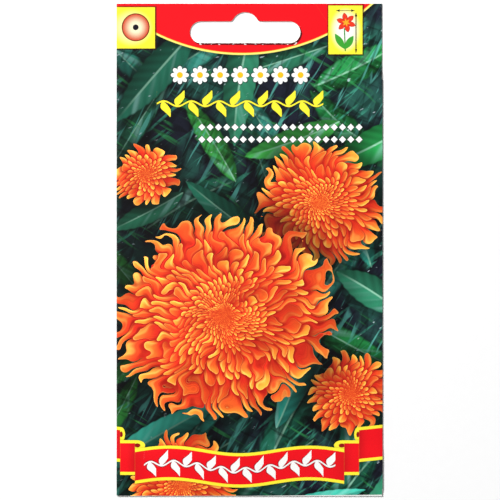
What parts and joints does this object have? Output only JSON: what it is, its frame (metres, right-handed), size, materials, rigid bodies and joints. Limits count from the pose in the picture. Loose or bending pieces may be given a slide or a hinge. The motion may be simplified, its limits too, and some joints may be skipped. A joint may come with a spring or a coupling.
{
  "type": "seed packet",
  "caption": "Flat folded paper seed packet with a glued header, a punched hang slot, and loose seeds in its pocket.",
  "frame": {"origin": "centre of the packet's outline, at the level of the surface that it lies on", "axes": "+Y from the bottom fold towards the hang slot; +Z out of the printed front, up as the packet lies on its back; +X to the right as the front is read"},
  "size_m": [0.078, 0.1446, 0.0029],
  "materials": {
    "paper": "satin",
    "glue": "satin",
    "seed": "matte"
  },
  "bodies": {
    "root": {"paper_sheet": "paper", "header_glue": "glue", "side_seam_glue": "glue", "bottom_flap_glue": "glue", "seed_01": "seed", "seed_02": "seed", "seed_03": "seed", "seed_04": "seed", "seed_05": "seed", "seed_06": "seed", "seed_07": "seed", "seed_08": "seed", "seed_09": "seed", "seed_10": "seed", "seed_11": "seed", "seed_12": "seed", "seed_13": "seed", "seed_14": "seed", "seed_15": "seed", "seed_16": "seed", "seed_17": "seed", "seed_18": "seed", "seed_19": "seed", "seed_20": "seed", "seed_21": "seed", "seed_22": "seed", "seed_23": "seed", "seed_24": "seed", "seed_25": "seed", "seed_26": "seed", "seed_27": "seed", "seed_28": "seed", "seed_29": "seed", "seed_30": "seed", "seed_31": "seed", "seed_32": "seed", "seed_33": "seed", "seed_34": "seed", "seed_35": "seed", "seed_36": "seed"}
  },
  "joints": []
}
